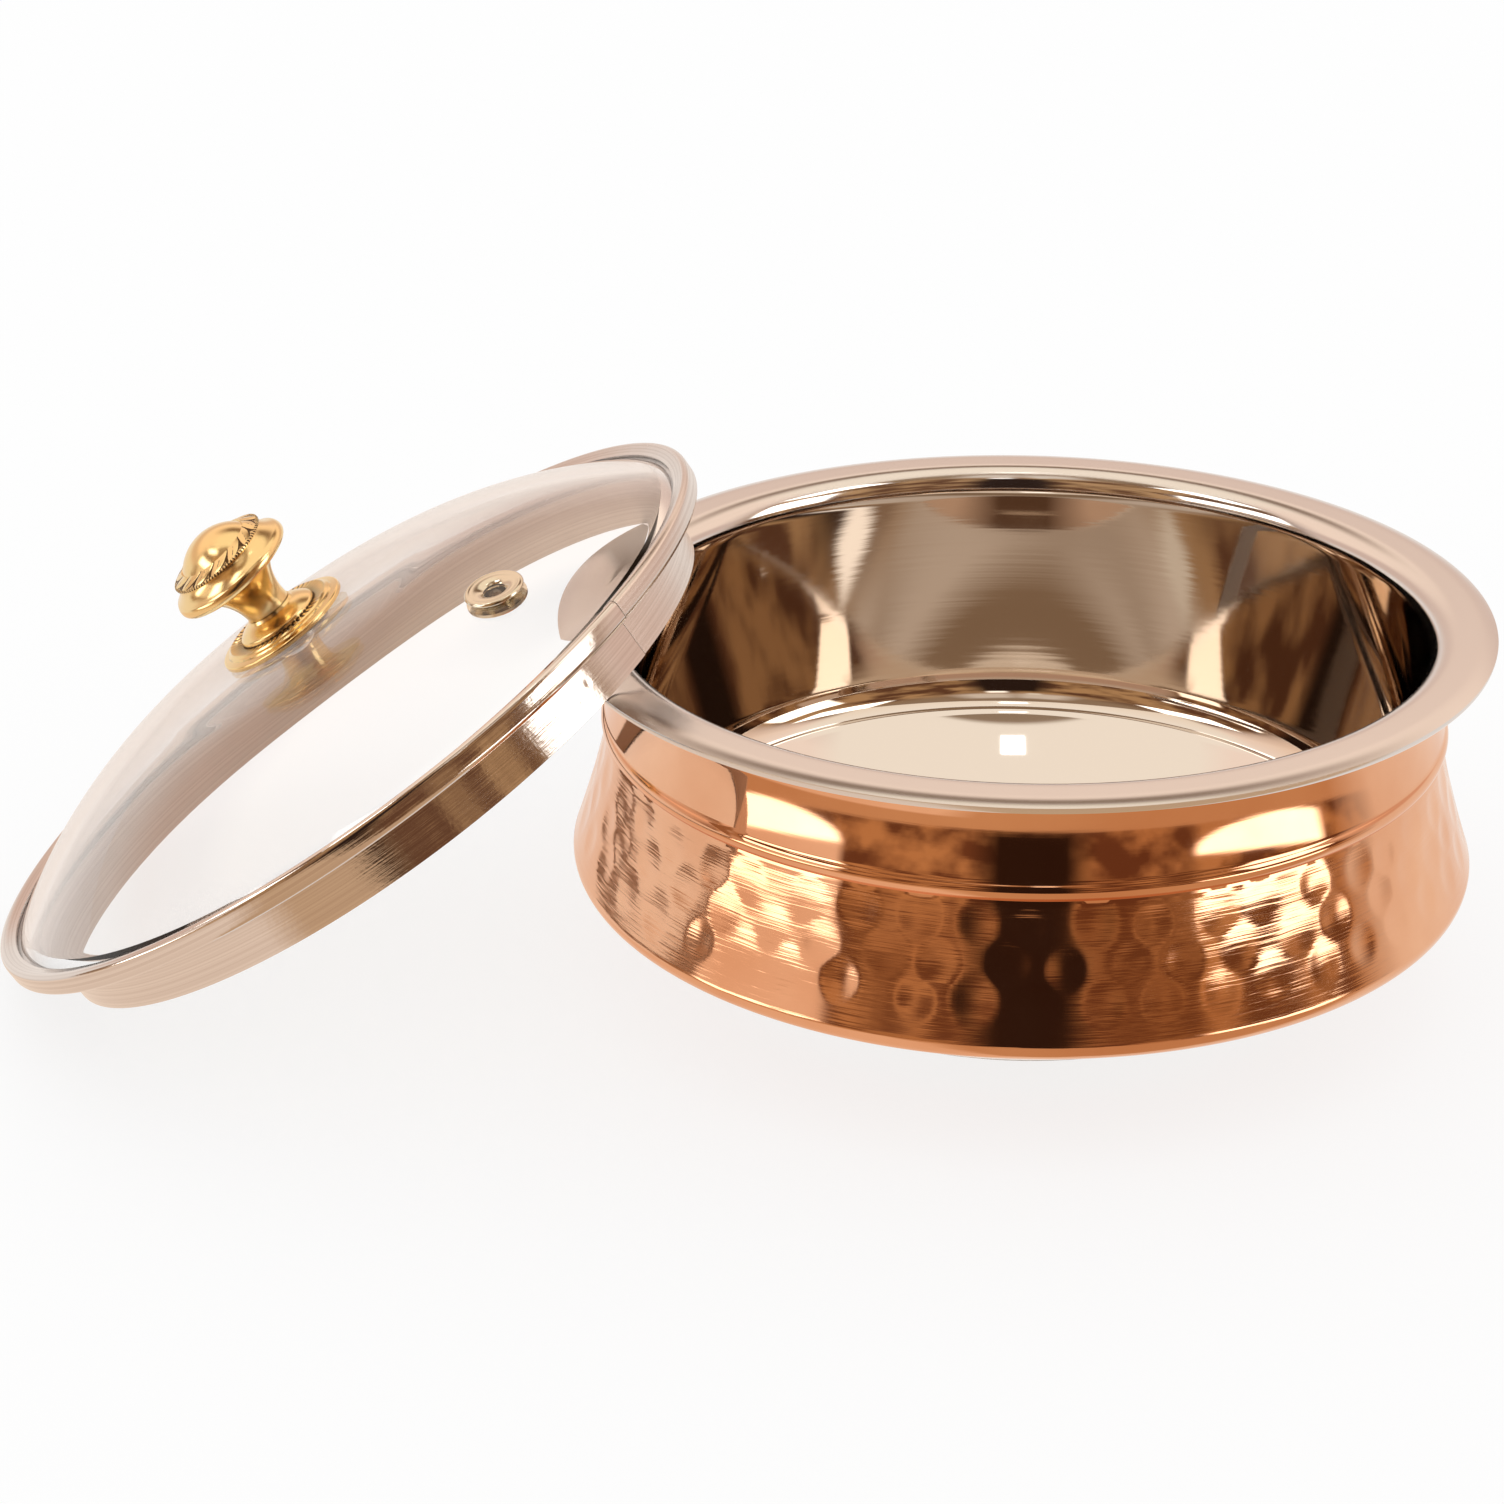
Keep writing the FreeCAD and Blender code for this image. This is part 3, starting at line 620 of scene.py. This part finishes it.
def glass_piece():
    """A flat crown arc and a rounder shoulder arc that meets it smoothly."""
    wall, hole = 3.2, 3.6
    crown_wide, crown_foot = 32.0, 32.345
    shoulder, shoulder_out, shoulder_middle = 112.046, 21.135, -79.173
    shoulder_wide, shoulder_foot = 82, 14.9
    edge, edge_round, seat, bottom = 86.6, 0.6, 14.0, 11.25
    inner, inner_shoulder = CROWN_ROUND - wall, shoulder - wall
    fall = CROWN - CROWN_ROUND
    inner_wide = shoulder_out + inner_shoulder * crown_wide / CROWN_ROUND
    inner_foot = 79.44

    def on_crown(radius, round_off):
        return fall + math.sqrt(round_off ** 2 - radius ** 2)

    rise = math.sqrt(inner_shoulder ** 2 - (inner_foot - shoulder_out) ** 2)
    steps = [
        (hole, on_crown(hole, inner)),
        (hole, on_crown(hole, CROWN_ROUND)),
        (crown_wide, crown_foot, CROWN_ROUND, "left", 1.6),
        (shoulder_wide, shoulder_foot, shoulder, "left", 1.6),
        (shoulder_wide + 1, seat),
        (edge - edge_round, seat),
        (edge, seat - edge_round, edge_round, "left", 0.2),
        (edge, bottom),
        (inner_foot, bottom),
        (inner_foot, shoulder_middle + rise),
        (inner_wide, on_crown(inner_wide, inner), inner_shoulder, "right", 1.6),
        (hole, on_crown(hole, inner), inner, "right", 1.6),
    ]
    return lathe("glass", trace(steps), GLASS_ROUND, place=LID)


def eyelet_piece():
    """Steam eyelet with a trumpet mouth, set square to the glass."""
    bearing, slope = math.radians(-31.6), math.radians(20.62)
    out, lift = 60.6, 25.694
    bore, barrel, foot = 1.5, 3.1, -4.27
    throat, mouth, crest, flange = -1.3, 4.9, 0.88, 6.1
    spot = Vector((out * math.cos(bearing), out * math.sin(bearing), lift)) * MM
    axis = Vector((-math.sin(bearing), math.cos(bearing), 0))
    steps = [
        (barrel, foot),
        (bore, foot),
        (bore, throat, 0.5),
        (mouth, crest - 0.08, 3.2, "left", 0.12),
        (mouth + 0.5, crest, 1.2, "left", 0.1),
        (flange, 0.35, 0.7, "left", 0.08),
        (flange - 0.2, 0, 0.3, "left", 0.08),
        (barrel, 0),
    ]

    # Painted shade inside the bore, below the throat.
    def dark(index, angle, radius, height):
        return 1.0 if radius < bore + 0.2 and height < -0.9 else 0.0

    place = LID @ Matrix.Translation(spot) @ Matrix.Rotation(slope, 4, axis)
    return lathe("eyelet", trace(steps), EYELET_ROUND, place=place, tone=dark)


def rosette_piece():
    """From the hollow below up the stepped edge, over the cut ring to the collar."""
    edge, ring, cup, top = 14.6, 12.0, 8.8, 2.1
    hole, hollow_wide, hollow_rise = 2.6, 9.3, 0.6
    step_low, step_high, ring_side = 1.25, 1.55, 1.8
    collar, collar_top = 5.2, 5.0
    scallops, cut_depth, inner_drop = 49, 0.6, 0.25
    steps = [
        (hole, hollow_rise),
        (hollow_wide, hollow_rise),
        (edge - 1.2, 0),
        (edge, 0),
        (edge, 0.6, 0.3),
        (edge - 0.5, 1.1, 0.5, "right", 0.12),
        (edge - 1.5, step_low, 0.2),
        (edge - 1.8, step_high, 0.15),
        (ring + 0.3, ring_side, 0.15),
        (ring, top, 0.12),
        (cup + 0.3, ring_side, 0.11),
        (cup, 2.6, 0.16),
        (collar + 0.3, collar_top - 0.6, 8.0, "right", 0.3),
        (collar, collar_top, 0.2),
        (hole, collar_top),
    ]

    def petal(angle, radius):
        """0 in the cut between two scallops and 1 on the back of one, and the
        way out across the ring."""
        share = (radius - cup) / (ring - cup)
        place = angle * scallops / (2 * math.pi) + share * 0.25
        return 1 - abs((place % 1.0) - 0.5) * 2, share

    def on_ring(radius, height):
        return cup + 0.05 < radius < ring + 0.02 and ring_side - 0.05 < height < top + 0.05

    def carved(index, angle, radius, height):
        if not on_ring(radius, height):
            return radius, height
        back, share = petal(angle, radius)
        cut = max(0.0, 0.75 - back * 1.5) * min(1.0, 3.2 * (1 - share)) ** 0.6
        drop = inner_drop * max(0.0, 0.25 - share) / 0.25
        return radius, height - cut_depth * cut - drop

    def dark(index, angle, radius, height):
        if not on_ring(radius, height):
            return 0.3 if 12.75 < radius < 13.2 and 1.2 < height < 1.6 else 0.0
        back, share = petal(angle, radius)
        if share < 0.12:
            return 0.85
        return 1.0 if back < 0.6 - 0.35 * share else 0.0

    divisions = scallops * 16
    return lathe("rosette", trace(steps), divisions, place=on_rosette(0), shift=carved, tone=dark)


def knob_piece():
    """From the screw's bore below the waist and the lip to the leaves and dome."""
    bore, bore_top, seat = 3.4, 9.0, 0.05
    waist, stem, lip, ring, dome = 4.9, 10.2, 13.7, 11.2, 8.0
    waist_top, lip_low, lip_top, ring_top, dome_foot, top = 0.8, 10.4, 12.8, 16.0, 17.4, 20.9
    leaves, swirl, leaf_rise, leaf_sink = 14, 0.9, 0.18, 0.08
    beads, bead_rise, bead_edge = 96, 0.05, 0.86
    flare = ((lip_low - waist_top) ** 2 + (stem - waist) ** 2) / (2 * (stem - waist))
    rise = top - dome_foot + 0.15
    cap = (dome ** 2 + rise ** 2) / (2 * rise)
    steps = [
        (bore, bore_top),
        (bore, seat),
        (waist, seat),
        (waist, waist_top),
        (stem, lip_low, flare, "left", 0.5),
        (stem + 0.6, lip_low + 0.12, 0.2),
        (lip - 0.8, lip_low, 0.5),
        (lip, lip_low + 1.0, 1.0, "right", 0.2),
        (lip - 0.5, lip_top, 2.0, "right", 0.25),
        (ring - 0.6, ring_top - 0.5, 6.0, "left", 0.35),
        (ring, ring_top - 0.25, 0.14),
        (ring, ring_top, 0.12),
        (dome + 0.15, dome_foot, 0.13),
        (dome, dome_foot - 0.15, 0.1),
        (0, top, cap, "right", 0.55),
        (0, bore_top),
    ]

    def leaf(angle, radius):
        """Distance over a leaf's half width, and the way out along it."""
        share = (radius - dome) / (ring - dome)
        place = angle * leaves / (2 * math.pi) + share * swirl
        across = abs((place % 1.0) - 0.5) * 2
        half = 0.92 * max(0.05, 1 - share ** 2.2) ** 0.7
        return across / half, share

    def on_ring(radius, height):
        return radius > dome + 0.1 and ring_top - 0.3 < height < dome_foot + 0.05

    def carved(index, angle, radius, height):
        if height < 2 * seat:
            level = math.cos(angle) * math.sin(KNOB_LEAN) + math.sin(angle) * math.sin(KNOB_TIP)
            return radius, height - radius * level
        if not on_ring(radius, height):
            return radius, height
        over, share = leaf(angle, radius)
        if share > bead_edge:
            return radius, height + bead_rise * math.cos(angle * beads)
        if share < 0.08:
            return radius, height
        return radius, height + max(0.0, 1 - over) ** 0.6 * leaf_rise - leaf_sink

    def dark(index, angle, radius, height):
        if not on_ring(radius, height):
            return 0.0
        over, share = leaf(angle, radius)
        if share > bead_edge:
            return 0.55 - 0.4 * math.cos(angle * beads)
        if over > 1.0:
            return 0.9 if over < 1.5 else 0.45
        return 0.5 if over < 0.1 and share > 0.25 else 0.0

    tilt = Matrix.Rotation(-KNOB_LEAN, 4, "Y") @ Matrix.Rotation(KNOB_TIP, 4, "X")
    place = on_rosette(5.05) @ tilt
    return lathe("knob_top", trace(steps), KNOB_ROUND, place=place, shift=carved, tone=dark)


dress(bowl_piece(), BOWL_STEEL, "steel", "inner_bowl")
dress(copper_piece(), COPPER, "copper", "copper_shell")
dress(band_piece(), BAND_STEEL, "band_steel", "rim_band")
dress(glass_piece(), GLASS, "glass", "glass_dome")
dress(eyelet_piece(), EYELET, "band_steel", "vent_eyelet")
dress(rosette_piece(), BRASS, "brass", "knob_rosette")
dress(knob_piece(), BRASS, "brass", "knob")

# The plain pieces keep their CAD form.
PLAIN = {"base_plate": BAND_STEEL, "vent_ring": EYELET, "upper_gasket": SEAL,
         "lower_gasket": SEAL, "screw_washer": FIXING, "knob_screw": FIXING}
for name, look in PLAIN.items():
    solid = nodes[name]
    solid.data.materials.clear()
    solid.data.materials.append(look)


# Floor, light and camera

FLOOR_REACH = 6.0
FLOOR_GLOW = 0.8

# The photo's camera: focal length and width in pixels, angles in degrees.
FOCAL_PIXELS = 3311.96
PHOTO_WIDE = 1504
SENSOR_WIDE = 36
PITCH, ROLL, YAW = 24.423, -0.441, 2.43
CAMERA_SPOT = (-0.05575, -0.62803, 0.33095)


def floor():
    """A matt white table. It glows for the camera, also through the glass, and
    metal mirrors the studio instead of it."""
    mesh = bpy.data.meshes.new("floor")
    made = bmesh.new()
    bmesh.ops.create_grid(made, x_segments=1, y_segments=1, size=FLOOR_REACH)
    made.to_mesh(mesh)
    made.free()
    thing = bpy.data.objects.new("floor", mesh)
    scene.collection.objects.link(thing)
    thing.visible_glossy = False
    look = bpy.data.materials.new("floor")
    look.use_nodes = True
    tree = look.node_tree
    tree.nodes.remove(tree.nodes["Principled BSDF"])
    matt = node(tree, "ShaderNodeBsdfDiffuse")
    matt.inputs["Color"].default_value = (0.96, 0.96, 0.96, 1)
    glow = node(tree, "ShaderNodeEmission")
    glow.inputs["Color"].default_value = (1, 1, 1, 1)
    path = node(tree, "ShaderNodeLightPath")
    seen = maths(tree, "MAXIMUM", path.outputs["Is Camera Ray"], path.outputs["Is Transmission Ray"])
    mix = node(tree, "ShaderNodeMixShader")
    tree.links.new(maths(tree, "MULTIPLY", seen, FLOOR_GLOW), mix.inputs["Fac"])
    tree.links.new(matt.outputs["BSDF"], mix.inputs[1])
    tree.links.new(glow.outputs["Emission"], mix.inputs[2])
    tree.links.new(mix.outputs["Shader"], tree.nodes["Material Output"].inputs["Surface"])
    mesh.materials.append(look)


def above(tree, value, low, soft):
    return spread(tree, value, low - soft, low + soft, 0, 1)


def below(tree, value, high, soft):
    return spread(tree, value, high - soft, high + soft, 1, 0)


def both(tree, first, second):
    return maths(tree, "MULTIPLY", first, second)


def between(tree, value, low, high, soft):
    return both(tree, above(tree, value, low, soft), below(tree, value, high, soft))


def view_angles(tree, x, y, z):
    """In degrees: the bearing from the viewer's side, positive to the right, the
    height over the horizon, and how far the bearing is from the viewer's side."""
    degree = math.degrees(1)
    turn = maths(tree, "ARCTAN2", x, maths(tree, "MULTIPLY", y, -1))
    bearing = maths(tree, "MULTIPLY", turn, degree)
    height = maths(tree, "MULTIPLY", maths(tree, "ARCSINE", z), degree)
    return bearing, height, maths(tree, "ABSOLUTE", bearing)


def room(tree, ray, bearing, height, away):
    """Brown clutter with a dark figure on the viewer's side, a table, and a pale
    sweep at the sides and the back."""
    clutter = node(tree, "ShaderNodeTexNoise")
    clutter.inputs["Scale"].default_value = 5.0
    clutter.inputs["Detail"].default_value = 4.0
    tree.links.new(ray, clutter.inputs["Vector"])
    patchy = spread(tree, clutter.outputs["Fac"], 0.42, 0.6, 0, 1)
    seen = layer(tree, patchy, (0.16, 0.07, 0.035), (0.56, 0.33, 0.16))

    brown_ceiling = above(tree, height, 57, 6)
    seen = layer(tree, brown_ceiling, seen, (0.36, 0.24, 0.15))
    figure = both(tree, between(tree, bearing, -11, 14, 4), between(tree, height, -14, 50, 3))
    seen = layer(tree, figure, seen, (0.03, 0.015, 0.01))
    table = below(tree, height, -13.4, 0.5)
    seen = layer(tree, table, seen, (0.66, 0.44, 0.27))
    pale_patch = both(tree, between(tree, away, 0, 26, 6), between(tree, height, 56.5, 70, 2.5))
    seen = layer(tree, pale_patch, seen, (0.84, 0.71, 0.59))

    sweep = above(tree, away, 94, 8)
    seen = layer(tree, sweep, seen, (0.95, 0.88, 0.82))
    wall = both(tree, above(tree, away, 92, 7), above(tree, height, 7, 4))
    seen = layer(tree, wall, seen, (0.81, 0.60, 0.50))
    dark_side = both(tree, between(tree, bearing, -101, -84, 2), between(tree, height, -17, -3, 1))
    seen = layer(tree, dark_side, seen, (0.38, 0.24, 0.15))
    bright_wall = both(tree, above(tree, away, 96, 8), above(tree, height, 23, 3.5))
    seen = layer(tree, bright_wall, seen, (1.15, 0.90, 0.73))
    dark_back = both(tree, above(tree, away, 150, 14), between(tree, height, 40, 78, 4))
    seen = layer(tree, dark_back, seen, (0.22, 0.13, 0.08))
    pale_table = both(tree, below(tree, height, -25, 3), below(tree, bearing, -20, 6))
    return layer(tree, pale_table, seen, (0.92, 0.74, 0.60))


def hanging_oval(tree, bearing, height, middle):
    """The lower half of an oval whose middle is a little below the horizon."""
    wide, top, tall = 25, -3.5, 10
    over = maths(tree, "DIVIDE", maths(tree, "ADD", bearing, -middle), wide)
    down = maths(tree, "DIVIDE", maths(tree, "ADD", height, -top), tall)
    reach = maths(tree, "ADD", maths(tree, "MULTIPLY", over, over), maths(tree, "MULTIPLY", down, down))
    return both(tree, below(tree, reach, 1, 0.12), below(tree, height, -3.75, 0.75))


def side_lights(tree, seen, bearing, height, white):
    """Lights and a pale panel at the sides, and two small lit areas high on the
    viewer's side."""
    for middle, west, east in ((-73, -84, -48), (68, 43, 81)):
        cut = between(tree, bearing, west, east, 1.5)
        seen = layer(tree, both(tree, hanging_oval(tree, bearing, height, middle), cut), seen, white)
    for west, east, low, high, colour in (
            (-84, -48, -4, 13, (0.95, 0.78, 0.66)),
            (-86, -50, 17, 31, white),
            (60, 85, 13, 36, white),
            (3, 11, 50, 54.5, (1.9, 1.8, 1.65)),
            (-11, -5, 54.5, 58.5, (1.0, 0.9, 0.76))):
        box = both(tree, between(tree, bearing, west, east, 1.2), between(tree, height, low, high, 0.8))
        seen = layer(tree, box, seen, colour)
    return seen


def overhead(tree, seen, x, y, z, height, white):
    """A slanting window on each side, a cream ceiling and a lamp. Window and lamp
    are placed on a level plane one unit up, aside from the middle and beyond it."""
    across = maths(tree, "DIVIDE", x, z)
    aside = maths(tree, "DIVIDE", maths(tree, "ABSOLUTE", x), z)
    beyond = maths(tree, "DIVIDE", y, z)
    slant = maths(tree, "ADD", maths(tree, "MULTIPLY", aside, -0.406),
                  maths(tree, "MULTIPLY", beyond, 0.914))
    window = both(tree, between(tree, slant, -0.68, -0.42, 0.012),
                  between(tree, aside, 0.58, 1.02, 0.02))
    seen = layer(tree, both(tree, window, above(tree, height, 30, 1)), seen, white)
    ceiling = both(tree, above(tree, y, -0.181, 0.008), above(tree, height, 56, 3))
    seen = layer(tree, ceiling, seen, (1.15, 0.99, 0.81))
    lamp = both(tree, between(tree, across, -0.02, 0.055, 0.003),
                between(tree, beyond, -0.13, -0.05, 0.004))
    return layer(tree, both(tree, lamp, above(tree, height, 60, 1)), seen, white)


def studio():
    """White all round, except that mirrored rays see a lit room."""
    world = bpy.data.worlds.new("studio")
    scene.world = world
    world.use_nodes = True
    tree = world.node_tree
    ray = node(tree, "ShaderNodeTexCoord").outputs["Generated"]
    axes = node(tree, "ShaderNodeSeparateXYZ")
    tree.links.new(ray, axes.inputs["Vector"])
    x, y, z = axes.outputs
    bearing, height, away = view_angles(tree, x, y, z)
    white = (3.6, 3.5, 3.3)
    seen = room(tree, ray, bearing, height, away)
    seen = side_lights(tree, seen, bearing, height, white)
    seen = overhead(tree, seen, x, y, z, height, white)
    path = node(tree, "ShaderNodeLightPath")
    mixed = node(tree, "ShaderNodeMix", data_type="RGBA")
    mixed.inputs["A"].default_value = (1.0, 1.0, 1.0, 1)
    tree.links.new(seen, mixed.inputs["B"])
    tree.links.new(path.outputs["Is Glossy Ray"], mixed.inputs["Factor"])
    back = tree.nodes["Background"]
    tree.links.new(mixed.outputs["Result"], back.inputs["Color"])
    back.inputs["Strength"].default_value = 1.0


def camera():
    pitch, roll, yaw = math.radians(PITCH), math.radians(ROLL), math.radians(YAW)
    turn = Matrix.Rotation(yaw, 3, "Z")
    ahead = turn @ Vector((0, math.cos(pitch), -math.sin(pitch)))
    level_up = turn @ Vector((0, math.sin(pitch), math.cos(pitch)))
    level_right = turn @ Vector((1, 0, 0))
    right = level_right * math.cos(roll) + level_up * math.sin(roll)
    up = level_up * math.cos(roll) - level_right * math.sin(roll)
    spin = Matrix((right, up, -ahead)).transposed().to_4x4()
    data = bpy.data.cameras.new("camera")
    data.sensor_width = SENSOR_WIDE
    data.lens = FOCAL_PIXELS / PHOTO_WIDE * SENSOR_WIDE
    data.clip_start = 0.01
    thing = bpy.data.objects.new("camera", data)
    scene.collection.objects.link(thing)
    thing.matrix_world = Matrix.Translation(turn @ Vector(CAMERA_SPOT)) @ spin
    scene.camera = thing


floor()
studio()
camera()
